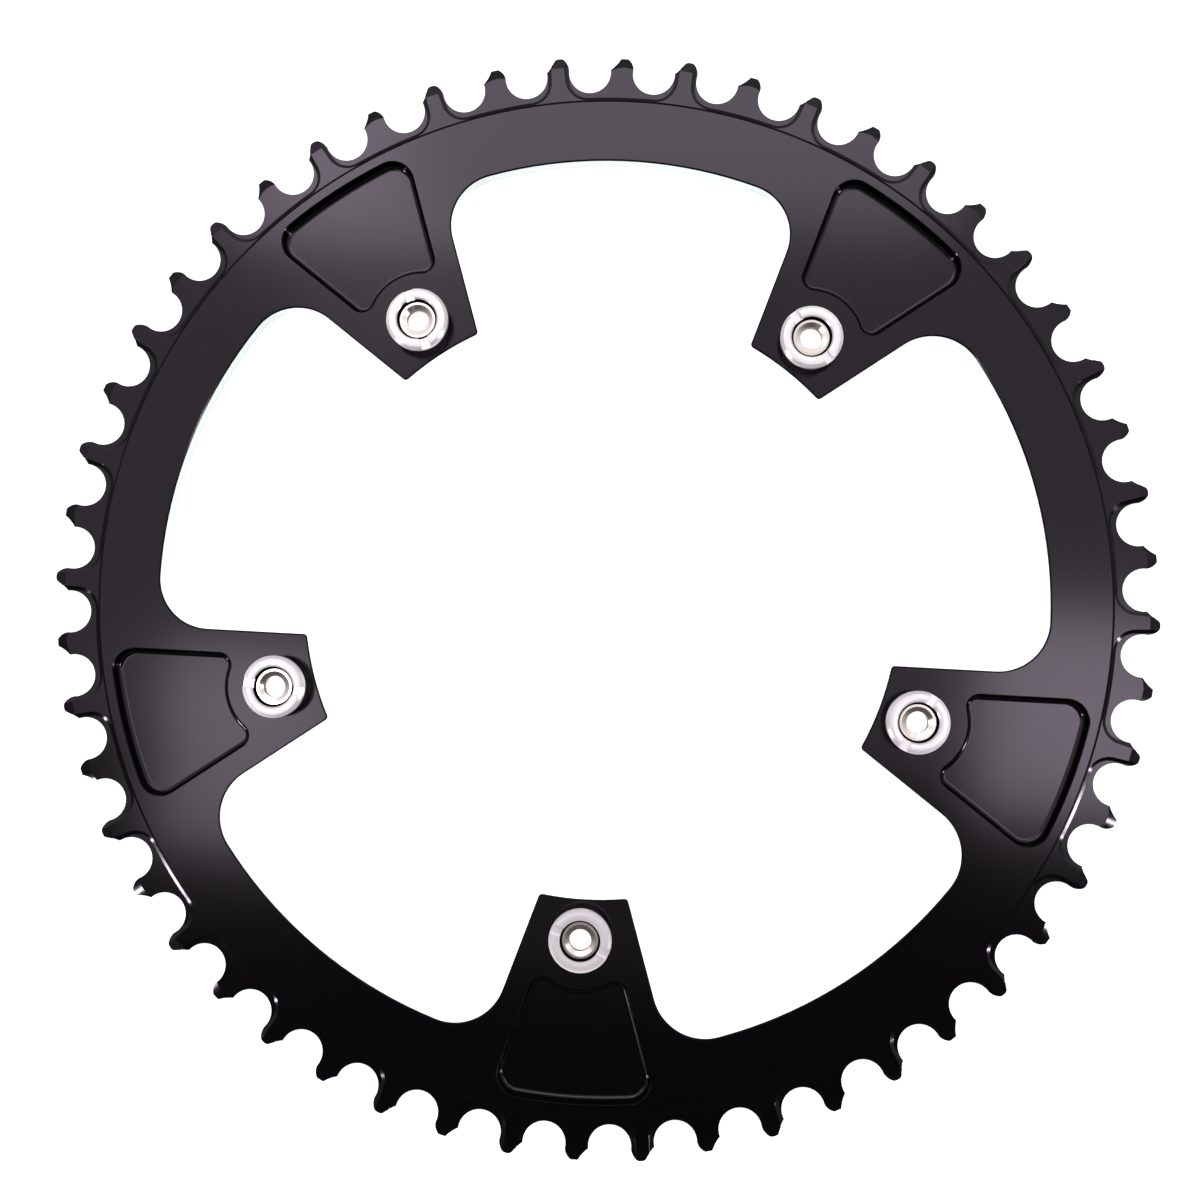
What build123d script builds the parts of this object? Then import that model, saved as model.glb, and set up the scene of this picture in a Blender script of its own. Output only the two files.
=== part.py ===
from build123d import *
import math
import os

# A 52-tooth narrow-wide bicycle chainring for a 130 mm five-arm bolt circle, with its five
# sleeve nuts and five hollow bolts fitted loosely, as it lies on a bench.
# Millimetres and degrees. The Z axis is the ring's axis. The flat outer face lies on z = 0
# and the face with the pockets and the nut heads looks up along +Z.

# Chain and teeth
chain_pitch = 12.7
tooth_count = 52
seat_radius = 4.15
tip_height = 2.98
narrow_thickness = 2.0
wide_thickness = 3.5

# Tooth outline, with a ramp on the counter-clockwise flank and a round on the other
ramp_corner_height = 0.65
ramp_tip_offset = 0.3
round_start_height = 0.3
round_radius = 3.5
round_flat_count = 2
seat_flat_count = 6

# Raised pads on both sides of each wide tooth, with a sloping wall round them
pad_tip_half_width = 1.15
pad_foot_half_width = 1.35
pad_foot_drop = 1.25
pad_flare_radius = 5.4
pad_flare_sweep = 70.0
pad_flare_flat_count = 2
pad_wall_run = 0.5

# Bevels that thin the tooth tips on both sides
narrow_bevel_length = 2.3
narrow_bevel_drop = 0.5
wide_bevel_length = 2.15
wide_bevel_drop = 0.55

# Body
body_thickness = 4.0
shoulder_drop = 2.27
rim_width = 11.75
shoulder_run = 0.95

# Arms and their bolt holes
arm_count = 5
datum_arm_angle = 198.0
bolt_circle_radius = 65.0
arm_side_angle = 18.0
arm_half_width = 10.5
arm_end_reach = 7.1
arm_root_fillet = 10.0
sleeve_hole_clearance = 0.1
counterbore_clearance = 0.3

# Pockets in the arms
pocket_depth = 2.0
pocket_rim = 1.75
pocket_web = 4.6
pocket_bite_radius = 10.4
pocket_outer_fillet = 4.7
pocket_inner_fillet = 2.5

# Sleeve nuts, each left turned to its own slot angle; flats stand for a full turn of a fastener
fastener_flat_count = 16
sleeve_diameter = 10.0
sleeve_length = 5.4
nut_head_diameter = 12.0
nut_head_thickness = 1.8
nut_bevel_run = 0.55
nut_bevel_drop = 0.4
nut_slot_width = 1.75
nut_slot_depth = 1.0
nut_slot_angles = [173.6, 158.6, 61.1, 130.1, 111.6]
thread_diameter = 7.5
thread_clearance = 0.05

# Hollow bolts
bolt_head_diameter = 12.0
bolt_head_thickness = 2.0
bolt_end_recess = 1.2
bolt_hole_diameter = 4.2
hex_socket_flats = 5.0
bolt_end_wall = 1.8

# Sizes worked out from the driving ones
pitch_angle = 360 / tooth_count
half_pitch_angle = pitch_angle / 2
pitch_radius = chain_pitch / (2 * math.sin(math.radians(half_pitch_angle)))
tip_radius = pitch_radius + tip_height
shoulder_radius = pitch_radius - seat_radius - shoulder_drop
window_radius = shoulder_radius - rim_width
pocket_outer_radius = shoulder_radius - pocket_rim
arm_end_radius = bolt_circle_radius - arm_end_reach
mid_height = body_thickness / 2
narrow_top = mid_height + narrow_thickness / 2
wide_top = mid_height + wide_thickness / 2
sleeve_hole_radius = sleeve_diameter / 2 + sleeve_hole_clearance
counterbore_radius = bolt_head_diameter / 2 + counterbore_clearance
nut_seat_height = bolt_head_thickness + sleeve_length
nut_top_height = nut_seat_height + nut_head_thickness
bolt_end_height = nut_top_height - bolt_end_recess
arm_angles = [datum_arm_angle + index * 360 / arm_count for index in range(arm_count)]
gap_center = Vector(0, pitch_radius).rotate(Axis.Z, -half_pitch_angle)
overlap = 1.0
match_tolerance = 0.01


def turned(shape, angle):
    """Turn a shape about the ring's axis."""
    return Rot(0, 0, angle) * shape


def raised(outline, height, amount):
    """Solid that rises by an amount from an outline laid at a height."""
    face = outline.face()
    if face.normal_at().Z < 0:
        face = -face
    return extrude(Pos(0, 0, height) * face, amount)


def mirrored_below(shape):
    """The same shape on the other side of the tooth mid-plane."""
    return mirror(shape, about=Plane.XY.offset(mid_height))


def tooth_turn(place):
    """Turn that carries a tooth from +Y to its place, counted from the datum arm."""
    return datum_arm_angle + (place + 0.5) * pitch_angle - 90


def chords(center, start, turn, count):
    """Points after the start on an arc about a centre, which the tooth outline joins by flats."""
    spoke = start - center
    return [center + spoke.rotate(Axis.Z, turn * step / count) for step in range(1, count + 1)]


def on_seat(height):
    """Point of the seat beside a tooth along +Y, at a height over the pitch circle's gap centre."""
    return gap_center + Vector(-math.sqrt(seat_radius**2 - height**2), height)


def tooth_points():
    """Outline of a tooth that points along +Y, from its rounded flank to its ramped flank."""
    round_start = on_seat(round_start_height)
    round_center = round_start - Vector(round_radius, 0)
    reach = round_center.length
    along = (reach**2 + tip_radius**2 - round_radius**2) / (2 * reach)
    lean = math.degrees(math.acos(along / tip_radius))
    round_end = (round_center.normalized() * tip_radius).rotate(Axis.Z, -lean)
    round_turn = (round_start - round_center).get_angle(round_end - round_center)
    round_points = chords(round_center, round_start, round_turn, round_flat_count)
    ramp_end = Vector(-ramp_tip_offset, math.sqrt(tip_radius**2 - ramp_tip_offset**2))
    ramp_corner = on_seat(ramp_corner_height)
    ramp_start = Vector(-ramp_corner.X, ramp_corner.Y)
    return [round_start, *round_points, ramp_end, ramp_start]


def toothed_plate():
    """Ring of the narrow thickness with every tooth on its rim and the narrow tips thinned."""
    tooth = tooth_points()
    far_gap_center = Vector(-gap_center.X, gap_center.Y)
    seat_end = tooth[0].rotate(Axis.Z, pitch_angle)
    seat_turn = 360 - (tooth[-1] - far_gap_center).get_angle(seat_end - far_gap_center)
    seat_points = chords(far_gap_center, tooth[-1], -seat_turn, seat_flat_count)
    places = range(tooth_count)
    points = tooth + seat_points[:-1]
    corners = [point.rotate(Axis.Z, tooth_turn(place)) for place in places for point in points]
    outline = make_face(Polyline(*corners, close=True)) - Circle(shoulder_radius - overlap)
    plate = raised(outline, mid_height - narrow_thickness / 2, narrow_thickness)
    bevel = tip_bevel(narrow_top, narrow_bevel_length, narrow_bevel_drop)
    both_bevels = [bevel, mirrored_below(bevel)]
    narrow_places = places[::2]
    return plate - [turned(tool, tooth_turn(place)) for place in narrow_places for tool in both_bevels]


def tip_bevel(top, length, drop):
    """Cutter that thins the upper side of a tooth along +Y, from a length short of its tip."""
    start = Vector(0, tip_radius - length, top)
    block = Box(chain_pitch, 4 * length, length, align=(Align.CENTER, Align.CENTER, Align.MIN))
    return Plane(start, x_dir=(1, 0, 0), z_dir=(0, drop, length)) * block


def pad_outline(spread):
    """Outline of a pad along +Y, spread sideways from that of its top face."""
    tip = Vector(pad_tip_half_width + spread, tip_radius + overlap)
    foot = Vector(pad_foot_half_width + spread, gap_center.Y - pad_foot_drop)
    flare_center = Vector(pad_foot_half_width + pad_flare_radius, foot.Y)
    flare = chords(flare_center, foot, pad_flare_sweep, pad_flare_flat_count)
    base = Vector(flare[-1].X, shoulder_radius - overlap)
    right_side = [base, *reversed(flare), foot, tip]
    left_side = [Vector(-point.X, point.Y) for point in reversed(right_side)]
    return make_face(Polyline(*right_side, *left_side, close=True))


def wide_pad():
    """Pad on the upper side of a wide tooth that points along +Y, its tip thinned."""
    foot_outline = Pos(0, 0, narrow_top) * pad_outline(pad_wall_run)
    top_outline = Pos(0, 0, wide_top) * pad_outline(0)
    pad = loft([foot_outline.face(), top_outline.face()], ruled=True)
    base = shoulder_radius - 2 * overlap
    below = [
        Vector(-chain_pitch / 2, gap_center.Y),
        Vector(-chain_pitch / 2, base),
        Vector(chain_pitch / 2, base),
        Vector(chain_pitch / 2, gap_center.Y),
    ]
    tooth = make_face(Polyline(*tooth_points(), *below, close=True))
    pad = pad & raised(tooth, narrow_top, wide_top - narrow_top)
    return pad - tip_bevel(wide_top, wide_bevel_length, wide_bevel_drop)


def arm_wedge(half_width, start, end):
    """Outline of an arm along +X with straight sides, set off from the bolt axis."""
    slope = math.tan(math.radians(arm_side_angle))
    at_bolt = half_width / math.cos(math.radians(arm_side_angle))
    start_half = at_bolt + (start - bolt_circle_radius) * slope
    end_half = at_bolt + (end - bolt_circle_radius) * slope
    return Polygon(
        (start, -start_half), (end, -end_half), (end, end_half), (start, start_half), align=None
    )


def near_radius(vertices, radius):
    """Those of the vertices that lie on a circle about the ring's axis."""
    return [v for v in vertices if abs(math.hypot(v.X, v.Y) - radius) < match_tolerance]


def arm_opening():
    """Outline of the opening inside the rim that leaves the arms standing."""
    inside = arm_end_radius - arm_half_width
    arm = arm_wedge(arm_half_width, inside, shoulder_radius) - Circle(arm_end_radius)
    opening = Circle(window_radius) - [turned(arm, angle) for angle in arm_angles]
    return fillet(near_radius(opening.vertices(), window_radius), arm_root_fillet)


def pocket():
    """Cutter for the pocket in an arm along +X."""
    outline = arm_wedge(arm_half_width - pocket_web, bolt_circle_radius, shoulder_radius)
    outline = outline & Circle(pocket_outer_radius)
    outline = outline - Pos(bolt_circle_radius, 0) * Circle(pocket_bite_radius)
    outer = near_radius(outline.vertices(), pocket_outer_radius)
    outline = fillet(outer, pocket_outer_fillet)
    inner = [v for v in outline.vertices() if v.X < bolt_circle_radius + pocket_bite_radius]
    outline = fillet(inner, pocket_inner_fillet)
    return raised(outline, body_thickness - pocket_depth, pocket_depth + overlap)


def bolt_hole():
    """Cutter for the bolt hole of an arm along +X, with the counterbore in the lower face."""
    hole = Pos(bolt_circle_radius, 0, mid_height) * Cylinder(sleeve_hole_radius, 2 * body_thickness)
    sink = Cylinder(counterbore_radius, 2 * bolt_head_thickness)
    return hole + Pos(bolt_circle_radius, 0, 0) * sink


def body():
    """Disc with sloping shoulders, opened out so that the arms stand inside its rim."""
    foot_radius = shoulder_radius + shoulder_run
    upper = [(0, body_thickness), (shoulder_radius, body_thickness), (foot_radius, narrow_top)]
    lower = [(r, body_thickness - z) for r, z in reversed(upper)]
    return turned_section(upper + lower) - raised(arm_opening(), 0, body_thickness)


def chainring():
    """The ring itself, machined from one plate."""
    pad = wide_pad()
    both_pads = [pad, mirrored_below(pad)]
    wide_places = range(1, tooth_count, 2)
    pads = [turned(one, tooth_turn(place)) for place in wide_places for one in both_pads]
    ring = body() + [toothed_plate(), *pads]
    arm_cuts = [pocket(), bolt_hole()]
    return ring - [turned(cut, angle) for angle in arm_angles for cut in arm_cuts]


def on_each_arm(shape):
    """Copies of a shape made on the Z axis, one on each bolt axis."""
    places = [turned(Pos(bolt_circle_radius, 0, 0), angle) for angle in arm_angles]
    return [place * shape for place in places]


def turned_section(points):
    """Solid of revolution about Z from the corners of half its section."""
    return revolve(make_face(Polyline(*[(r, 0, z) for r, z in points], close=True)), Axis.Z)


def shaft(diameter, start, end):
    """Round bar on the Z axis between two heights, its corners on the diameter."""
    return raised(RegularPolygon(diameter / 2, fastener_flat_count), start, end - start)


def bore(diameter, start, end):
    """Round hole on the Z axis between two heights, its flats on the diameter."""
    return raised(RegularPolygon(diameter / 2, fastener_flat_count, major_radius=False), start, end - start)


def sleeve_nut():
    """Sleeve nut on the Z axis, standing on the bolt's head, its slot along X."""
    head = shaft(nut_head_diameter, nut_seat_height, nut_top_height)
    rim = head.edges().group_by(Axis.Z)[-1]
    head = chamfer(rim, nut_bevel_drop, nut_bevel_run)
    nut = head + shaft(sleeve_diameter, bolt_head_thickness, nut_seat_height)
    nut = nut - bore(thread_diameter + 2 * thread_clearance, bolt_head_thickness, nut_top_height)
    slot = Box(2 * nut_head_diameter, nut_slot_width, 2 * nut_slot_depth)
    return nut - Pos(0, 0, nut_top_height) * slot


def hollow_bolt():
    """Hollow bolt on the Z axis, its head in the counterbore and its hex socket facing down."""
    bolt = shaft(bolt_head_diameter, 0, bolt_head_thickness)
    bolt = bolt + shaft(thread_diameter, bolt_head_thickness, bolt_end_height)
    socket_end = bolt_end_height - bolt_end_wall
    socket = RegularPolygon(hex_socket_flats / 2, 6, major_radius=False)
    hole = Cylinder(bolt_hole_diameter / 2, 2 * bolt_end_height)
    return bolt - [raised(socket, 0, socket_end), hole]


def sleeve_nuts():
    """The five nuts, each turned to its slot angle."""
    nut = sleeve_nut()
    nuts = []
    for index, angle in enumerate(arm_angles):
        slot_angle = nut_slot_angles[index % len(nut_slot_angles)]
        place = turned(Pos(bolt_circle_radius, 0, 0), angle)
        nuts.append(place * Rot(0, 0, slot_angle - angle) * nut)
    return nuts


os.makedirs("parts", exist_ok=True)
export_step(chainring(), "parts/chainring.step")
export_step(Compound(children=sleeve_nuts()), "parts/sleeve_nuts.step")
export_step(Compound(children=on_each_arm(hollow_bolt())), "parts/sleeve_bolts.step")
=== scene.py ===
import copy
import math

import bmesh
import bpy
from mathutils import Matrix, Vector
from mathutils.geometry import delaunay_2d_cdt


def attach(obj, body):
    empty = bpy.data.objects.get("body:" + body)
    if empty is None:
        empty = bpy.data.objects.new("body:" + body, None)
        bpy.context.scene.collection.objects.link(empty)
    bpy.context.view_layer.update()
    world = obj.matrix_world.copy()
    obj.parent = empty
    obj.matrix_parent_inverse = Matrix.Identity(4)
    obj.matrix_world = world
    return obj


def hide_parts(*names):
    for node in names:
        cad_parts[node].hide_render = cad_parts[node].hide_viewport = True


bl_info = {
    "name": "Narrow-wide chainring",
    "version": (1, 0, 0),
    "blender": (4, 5, 0),
    "location": "3D View > Sidebar > Chainring",
    "description": "A bicycle chainring with its sleeve nuts and hollow bolts, and a stage to look at it",
    "category": "Object",
}

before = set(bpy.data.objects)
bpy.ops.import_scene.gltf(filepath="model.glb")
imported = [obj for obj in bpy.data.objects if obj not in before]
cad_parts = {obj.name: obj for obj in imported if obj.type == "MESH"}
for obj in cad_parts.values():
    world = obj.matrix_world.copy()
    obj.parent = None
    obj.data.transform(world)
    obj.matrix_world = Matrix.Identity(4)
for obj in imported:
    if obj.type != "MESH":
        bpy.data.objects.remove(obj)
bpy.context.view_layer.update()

MM = 0.001
AXIS = Vector((0, 0))

# Fineness of curves: degrees to a step, then steps to a stretch
SMOOTH_STEP = 5.0
END_STEP = 2.5
RIM_STEP = 2.0
FASTENER_STEP = 4
STAGE_STEP = 5
SEAM_STEPS = 10
SHOULDER_STEPS = 32
TOOTH_STEPS = 8
EASE_STEPS = 6
FILLET_STEPS = 12
COVE_STEPS = 8

# Limits that tell faces and edges apart
SHARP_ANGLE = math.radians(9)
UPRIGHT = 0.1
WELD = 0.002 * MM
PLAN_WELD = WELD / 10
SIDE_MARGIN = 1e-6
SIDE_ANGLE_MARGIN = 0.001

# Small flats, broken edges and ends of threads
FLAT_GUARD = 0.1 * MM
MOUTH_LEDGE = 0.1 * MM
NUT_EDGE = 0.07 * MM
FOOT_EDGE = 0.15 * MM
BOLT_EDGE = 0.3 * MM
THREAD_LEAD = 0.3 * MM
THREAD_END = 0.4 * MM

# Name, place, size and brightness of the soft panels, in metres. The low ones face the ring.
PANELS = (
    ("ceiling", (0.0, 0.30, 1.3), (1.5, 0.85), 0.76),
    ("far panel", (0.01, 0.66, 1.2), (0.58, 0.42), 2.35),
    ("far left panel", (-0.33, 0.58, 1.2), (0.26, 0.34), 4.3),
    ("near left panel", (-0.27, 0.33, 1.2), (0.22, 0.12), 0.6),
    ("left panel", (-0.405, -0.125, 1.2), (0.19, 0.21), 4.0),
    ("right panel", (0.455, -0.0475, 1.2), (0.21, 0.205), 4.6),
    ("near panel", (-0.05, -0.27, 1.2), (0.3, 0.14), 0.26),
)
LOW_PANELS = (
    ("low left", (-0.835, -0.550, 0.49), (0.07, 0.22), 57.0),
    ("low right", (0.940, -0.340, 0.55), (0.07, 0.22), 57.0),
)


def linear(code):
    """Linear colour from an sRGB hex code such as #1a2b3c."""
    parts = [int(code[place:place + 2], 16) / 255 for place in (1, 3, 5)]
    return tuple(part / 12.92 if part <= 0.04045 else ((part + 0.055) / 1.055) ** 2.4 for part in parts)


def length(millimetres, text):
    """A size, given in millimetres and kept in metres."""
    return bpy.props.FloatProperty(description=text, default=millimetres * MM, unit="LENGTH", precision=5)


def angle(degrees, text):
    """An angle, given in degrees."""
    return bpy.props.FloatProperty(description=text, default=math.radians(degrees), unit="ROTATION")


def number(value, text):
    """A plain number."""
    return bpy.props.FloatProperty(description=text, default=value, min=0)


def colour(code, text):
    """A colour, given as a hex code."""
    shade = linear(code)
    return bpy.props.FloatVectorProperty(description=text, default=shade, subtype="COLOR", min=0, max=1)


def labelled(settings):
    """Label each setting of a group with its own name in plain words."""
    for name, setting in settings.__annotations__.items():
        setting.keywords["name"] = name.replace("_", " ").capitalize()
    return settings


@labelled
class ToothSizes(bpy.types.PropertyGroup):
    """Sizes of the teeth and of the shoulder that they stand on."""

    tooth_count: bpy.props.IntProperty(description="Teeth on the rim", default=52)
    chain_pitch: length(12.7, "Distance between the chain's pins")
    seat_radius: length(4.15, "Radius of the seats for the chain's rollers")
    tip_height: length(2.98, "Height of the tips over the pitch circle")
    narrow_half: length(1.0, "From the mid-plane to a narrow tooth's side")
    wide_half: length(1.75, "From the mid-plane to a wide tooth's side")
    round_start: length(0.8, "Height of the rounded flank's foot over the seat's centre")
    round_radius: length(3.0, "Radius of the rounded flank")
    ramp_corner: length(0.65, "Height of the ramp's foot over the seat's centre")
    ramp_radius: length(7.5, "Radius of the hollow ramp")
    ramp_tip: length(0.3, "From the tooth's middle to the ramp's upper end")
    pad_tip_half: length(1.15, "Half the width of a pad at its tip")
    pad_foot_half: length(1.35, "Half the width of a pad at its foot")
    pad_flare: length(3.6, "Radius of the hollow corner between a pad and the shoulder")
    foot_run: length(0.7, "Run of the gentle slope at the foot of the walls")
    foot_rise: length(0.262, "Rise of the gentle slope at the foot of the walls")
    wall_run: length(0.07, "Run of the steep wall over the gentle slope")
    shoulder_break: length(0.5, "Run of the broken edge of the shoulder")
    narrow_bevel: length(2.1, "Length of the bevel on a narrow tip")
    narrow_drop: length(0.7, "Fall of the bevel on a narrow tip")
    narrow_crown: length(14.0, "Radius of the crown across the bevel on a narrow tip")
    narrow_skew: number(0.08, "Slope of the edge of the bevel on a narrow tip")
    wide_bevel: length(2.15, "Length of the bevel on a wide tip")
    wide_drop: length(0.55, "Fall of the bevel on a wide tip")
    wide_round: length(0.6, "How far the corners of a wide tip are rounded")
    shoulder_drop: length(2.27, "From the seats' floors down to the shoulder")
    edge_break: length(0.06, "Width of the broken edge round the teeth")


@labelled
class BodySizes(bpy.types.PropertyGroup):
    """Sizes of the rim, the arms and the pockets."""

    half_thickness: length(2.0, "From the mid-plane to the face")
    seam_inset: length(0.75, "From the shoulder in to where the toothed rim joins the body")
    rim_width: length(11.75, "From the shoulder in to the windows")
    arm_count: bpy.props.IntProperty(description="Arms inside the rim", default=5)
    first_arm: angle(198.0, "Angle of the arm that the teeth are counted from")
    bolt_circle: length(65.0, "Radius of the circle of bolt holes")
    arm_slope: angle(18.0, "Angle between an arm's side and its middle")
    arm_half_width: length(10.5, "From the bolt's axis to the arm's side")
    arm_reach: length(7.1, "From the bolt's axis in to the arm's end")
    root_fillet: length(10.0, "Radius where an arm meets the rim")
    end_corner: length(0.8, "Radius of the corners of an arm's end")
    bolt_hole: length(5.1, "Radius of the hole for the sleeve")
    counterbore: length(6.3, "Radius of the sink for the bolt's head")
    edge_break: length(0.28, "Width of the broken edge round the windows")
    pocket_depth: length(2.0, "Depth of a pocket")
    pocket_rim: length(1.75, "From the shoulder in to a pocket")
    pocket_web: length(4.6, "From an arm's side in to its pocket")
    pocket_bite: length(10.4, "Radius of the boss that a pocket leaves round the bolt")
    pocket_outer: length(4.3, "Radius of a pocket's outer corners")
    pocket_inner: length(2.5, "Radius of a pocket's inner corners")
    pocket_edge: length(0.18, "Width of the broken edge round a pocket")
    pocket_draft: length(0.3, "How far a pocket's wall leans in along the rim")
    pocket_side_draft: length(0.15, "How far a pocket's other walls lean in")
    pocket_floor: length(0.95, "Radius between a pocket's wall and its floor")


@labelled
class FastenerSizes(bpy.types.PropertyGroup):
    """Sizes of the sleeve nuts and the hollow bolts."""

    nut_top: length(9.2, "Height of the nut's top over the outer face")
    nut_head: length(6.0, "Radius of the nut's head")
    nut_head_thickness: length(1.8, "Thickness of the nut's head")
    nut_bevel_run: length(0.55, "Width of the bevel round the nut's top")
    nut_bevel_drop: length(0.4, "Fall of the bevel round the nut's top")
    nut_crown: length(0.04, "How far the nut's top is domed by polishing")
    slot_width: length(1.75, "Width of the slot across the nut")
    slot_depth: length(1.0, "Depth of the slot across the nut")
    sleeve: length(5.0, "Radius of the nut's sleeve")
    sleeve_foot: length(2.0, "Height of the sleeve's foot, on the bolt's head")
    mouth: length(4.15, "Radius of the countersink at the thread's mouth")
    thread: length(3.75, "Outer radius of the bolt's thread")
    thread_pitch: length(0.75, "Pitch of the thread")
    thread_depth: length(0.35, "Depth of the thread")
    thread_gap: length(0.04, "Play between the two threads")
    bolt_head: length(6.0, "Radius of the bolt's head")
    bolt_end: length(8.0, "Height of the bolt's end over the outer face")
    bolt_hole: length(2.1, "Radius of the hole through the bolt's end")
    sink: length(3.0, "Radius of the countersink in the bolt's end")
    sink_depth: length(0.28, "Depth of the countersink in the bolt's end")
    # Painted shade: faces within this radius of a bolt's axis take the dark thread colour, which stands in
    # for the shade in the thread's gap and in the bolt's bore.
    oil_reach: length(3.95, "Radius round a bolt's axis that the thread's oil darkens")
    socket_half: length(2.5, "From the socket's middle to its flats")
    socket_depth: length(6.2, "Depth of the hexagon socket")
    slot_turns: bpy.props.FloatVectorProperty(
        description="Where each slot was left, counted round from the first arm",
        default=[math.radians(turn) for turn in (173.6, 158.6, 61.1, 130.1, 111.6)],
        size=5,
        unit="ROTATION",
    )


@labelled
class Finishes(bpy.types.PropertyGroup):
    """Colours of the surfaces and the brightness of the room."""

    anodised: colour("#322e33", "Sheen of the dyed oxide on the ring")
    satin: colour("#fdf4fa", "Colour of the nuts")
    polished: colour("#f2e4e1", "Colour of the bolts")
    # Painted shade: a dark colour that stands in for the shade in the gap between nut and bolt and in the
    # bolt's bore.
    thread: colour("#241f20", "Colour of the threads")
    floor: colour("#f4fbf9", "Colour of the floor")
    backdrop: colour("#f6f6f6", "Colour of the backdrop")
    ceiling_light: number(0.076, "Brightness of the dim room overhead")
    room_light: number(0.91, "Brightness that the dim room gains lower down")


def turned(point, angle_of_turn):
    """A point in the plan, turned about the ring's axis."""
    return Matrix.Rotation(angle_of_turn, 2) @ point


def mirrored(chain, signs):
    """A chain of points with the signs of x and y changed, in the opposite order."""
    return [Vector((point.x * signs[0], point.y * signs[1])) for point in reversed(chain)]


def raised(chain, level):
    """The points of a chain in the plan, raised to a level."""
    return [Vector((point.x, point.y, level)) for point in chain]


def ring_row(radius, level, step):
    """Points at a level round the Z axis, a step in degrees apart."""
    turns = [math.radians(degrees) for degrees in range(0, 360, step)]
    return [Vector((radius * math.cos(t), radius * math.sin(t), level)) for t in turns]


def bearing(point, center):
    """Angle in degrees at which a point is seen from a centre."""
    spoke = point - center
    return math.degrees(math.atan2(spoke.y, spoke.x))


def arc(center, radius, start, end, step=SMOOTH_STEP):
    """Points on an arc between two angles in degrees."""
    count = max(1, math.ceil(abs(end - start) / step))
    angles = [math.radians(start + (end - start) * index / count) for index in range(count + 1)]
    return [center + Vector((math.cos(a), math.sin(a))) * radius for a in angles]


def circle(center, radius, step=SMOOTH_STEP):
    """Points round a circle, the first one again at the end."""
    points = arc(center, radius, 0, 360, step)[:-1]
    return [*points, points[0]]


def arc_between(center, start, end):
    """Points on the shorter arc between two points about a centre."""
    first = bearing(start, center)
    sweep = (bearing(end, center) - first + 180) % 360 - 180
    return arc(center, (start - center).length, first, first + sweep)


def set_in(chain, distance):
    """A chain moved to its left by a distance, corners mitred, its ends kept on their spokes."""
    moved = []
    for index, point in enumerate(chain):
        before = point - chain[index - 1] if index else chain[1] - point
        after = chain[index + 1] - point if index + 1 < len(chain) else before
        normals = [Vector((-way.y, way.x)).normalized() for way in (before, after)]
        middle = (normals[0] + normals[1]).normalized()
        moved.append(point + middle * (distance / middle.dot(normals[0])))
    for end in (0, -1):
        spoke = chain[end].normalized()
        moved[end] = chain[end] + spoke * math.copysign(distance, (moved[end] - chain[end]).dot(spoke))
    return moved


def rolling_center(start, way, center, reach):
    """Farthest point along a line that lies at a reach from a centre."""
    offset = start - center
    along = -offset.dot(way)
    return start + way * (along + math.sqrt(along**2 - offset.length_squared + reach**2))


def placed(name, data):
    """A new object in the scene."""
    made = bpy.data.objects.new(name, data)
    bpy.context.collection.objects.link(made)
    return made


class Sheet:
    """Triangles over a plan drawn by chains of points, each raised to its height."""

    def __init__(self, chains, surface, hollow=None):
        points, edges, heights = [], [], []
        for chain, height in chains:
            first = len(points)
            points += chain
            heights += [height] * len(chain)
            edges += [(first + index, first + index + 1) for index in range(len(chain) - 1)]
        spots, _, faces, origins, _, _ = delaunay_2d_cdt(points, edges, [], 1, PLAN_WELD)
        self.corners = []
        for spot, origin in zip(spots, origins):
            given = [heights[index] for index in origin if heights[index] is not None]
            height = given[0] if given else surface(spot)
            self.corners.append(Vector((spot.x, spot.y, height)))
        middles = [sum((spots[index] for index in face), AXIS) / 3 for face in faces]
        self.faces = [face for face, middle in zip(faces, middles) if not (hollow and hollow(middle))]

    def turned_over(self):
        """The same sheet under the mid-plane, still facing up."""
        other = copy.copy(self)
        other.corners = [Vector((c.x, c.y, -c.z)) for c in self.corners]
        return other

    def lowered(self, edges, amount):
        """Let the corners on some edges down by an amount."""
        for index in {index for edge in edges for index in edge}:
            self.corners[index].z -= amount

    def borders(self, chosen):
        """Border edges, in the direction of their faces, whose middles a test picks."""
        edges = {(a, b) for face in self.faces for a, b in zip(face, face[1:] + face[:1])}
        alone = [(a, b) for a, b in edges if (b, a) not in edges]
        return [(a, b) for a, b in alone if chosen((self.corners[a] + self.corners[b]) / 2)]


class Shell:
    """A mesh put together from sheets, walls and turned rows, welded at the end."""

    def __init__(self):
        self.mesh = bmesh.new()

    def face(self, corners):
        """One face from its corners."""
        self.mesh.faces.new([self.mesh.verts.new(corner) for corner in corners])

    def sheet(self, sheet, flipped=False):
        """Every triangle of a sheet, turned over if it faces down."""
        for face in sheet.faces:
            corners = [sheet.corners[index] for index in face]
            self.face(reversed(corners) if flipped else corners)

    def band(self, lower, upper, closed=True):
        """Quads between two rows of as many points."""
        count = len(lower)
        for index in range(count if closed else count - 1):
            follow = (index + 1) % count
            self.face([lower[index], lower[follow], upper[follow], upper[index]])

    def rows(self, rows, closed=True):
        """Bands between each row and the next."""
        for lower, upper in zip(rows, rows[1:]):
            self.band(lower, upper, closed)

    def walls(self, upper, lower, edges):
        """Walls between two sheets of the same plan, along some edges."""
        for a, b in edges:
            self.face([lower.corners[a], lower.corners[b], upper.corners[b], upper.corners[a]])

    def piece(self, name, place=(0, 0, 0)):
        """The finished object, its doubles welded, moved to its place."""
        bmesh.ops.remove_doubles(self.mesh, verts=self.mesh.verts, dist=WELD)
        bmesh.ops.translate(self.mesh, verts=self.mesh.verts, vec=place)
        mesh = bpy.data.meshes.new(name)
        self.mesh.to_mesh(mesh)
        self.mesh.free()
        return placed(name, mesh)


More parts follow.
